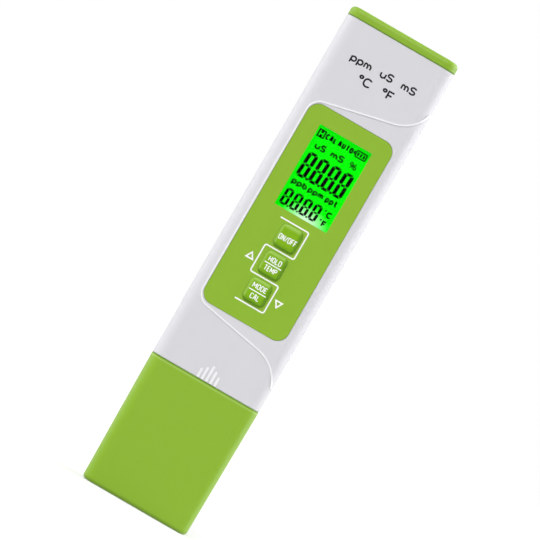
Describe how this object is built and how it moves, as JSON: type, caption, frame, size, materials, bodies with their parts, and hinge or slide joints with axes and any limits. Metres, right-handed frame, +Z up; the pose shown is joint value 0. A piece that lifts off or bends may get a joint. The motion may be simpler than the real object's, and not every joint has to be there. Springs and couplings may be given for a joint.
{
  "type": "water quality tester",
  "caption": "Pen-type water tester: a slim grey body with a display and keys, a sensing end under a green slide-on cap, and a green pull-out battery drawer.",
  "frame": {"origin": "middle of the flat foot of the protective cap, on the surface that the tester stands on", "axes": "+Z up along the length, sensing end down; the display and keys face -Y; +X is to the right of the display as it is read"},
  "size_m": [0.038, 0.0193, 0.1683],
  "materials": {
    "shell_plastic": "light grey, satin",
    "green_plastic": "apple green, glossy",
    "key_plastic": "darker apple green, glossy",
    "clear_window": "clear acrylic",
    "display_glass": "polished glass",
    "light_guide": "frosted, lit green",
    "lamp": "clear epoxy",
    "elastomer": "striped elastomer",
    "circuit_board": "green solder mask",
    "steel": "stainless",
    "nickel": "nickel plate",
    "chip_plastic": "moulded epoxy",
    "ceramic_parts": "chip ceramic",
    "white_plastic": "natural nylon",
    "black_plastic": "moulded",
    "probe_plastic": "dark grey, moulded",
    "graphite": "polished graphite",
    "bead": "epoxy bead",
    "wire": "insulated wire",
    "potting": "cast epoxy",
    "seal_rubber": "nitrile rubber"
  },
  "bodies": {
    "tester": {"front_shell": "shell_plastic", "rear_shell": "shell_plastic", "keypad_overlay": "green_plastic", "display_window": "clear_window", "lcd_frame": "black_plastic", "lcd_front_glass": "display_glass", "lcd_rear_glass": "display_glass", "backlight_plate": "light_guide", "backlight_led": "lamp", "lcd_connector_strip": "elastomer", "main_board": "circuit_board", "board_screws": "steel", "processor_chip": "chip_plastic", "amplifier_chip": "chip_plastic", "crystal": "nickel", "board_components": "ceramic_parts", "sensor_header": "white_plastic", "sensor_plug": "white_plastic", "contact_carrier": "black_plastic", "contact_spring_left": "nickel", "contact_spring_right": "nickel", "power_switch_body": "black_plastic", "hold_switch_body": "black_plastic", "mode_switch_body": "black_plastic", "probe_housing": "probe_plastic", "electrode_left": "graphite", "electrode_right": "graphite", "temperature_sheath": "steel", "thermistor": "bead", "thermistor_leads": "wire", "electrode_lead_left": "wire", "electrode_lead_right": "wire", "potting_block": "potting", "cap_seal": "seal_rubber", "neck_screws": "steel"},
    "cap": {"protective_cap": "green_plastic"},
    "battery_drawer": {"battery_lid": "green_plastic", "battery_lid_seal": "seal_rubber", "battery_tray": "black_plastic", "positive_contact": "nickel", "negative_contact": "nickel", "cell_1": "nickel", "cell_2": "nickel", "cell_3": "nickel", "cell_4": "nickel"},
    "power_button": {"power_key": "key_plastic", "power_switch_plunger": "white_plastic"},
    "hold_button": {"hold_key": "key_plastic", "hold_switch_plunger": "white_plastic"},
    "mode_button": {"mode_key": "key_plastic", "mode_switch_plunger": "white_plastic"}
  },
  "joints": [
    {"name": "cap_slide", "type": "slide", "parent": "tester", "child": "cap", "axis": [0, 0, -1], "range_m": [0, 0.045]},
    {"name": "battery_drawer_slide", "type": "slide", "parent": "tester", "child": "battery_drawer", "axis": [0, 0, 1], "range_m": [0, 0.026]},
    {"name": "power_key_press", "type": "slide", "parent": "tester", "child": "power_button", "axis": [0, 1, 0], "range_m": [0, 0.0003], "stiffness_N_per_m": 400, "springref_m": -0.002},
    {"name": "hold_key_press", "type": "slide", "parent": "tester", "child": "hold_button", "axis": [0, 1, 0], "range_m": [0, 0.0003], "stiffness_N_per_m": 400, "springref_m": -0.002},
    {"name": "mode_key_press", "type": "slide", "parent": "tester", "child": "mode_button", "axis": [0, 1, 0], "range_m": [0, 0.0003], "stiffness_N_per_m": 400, "springref_m": -0.002}
  ]
}
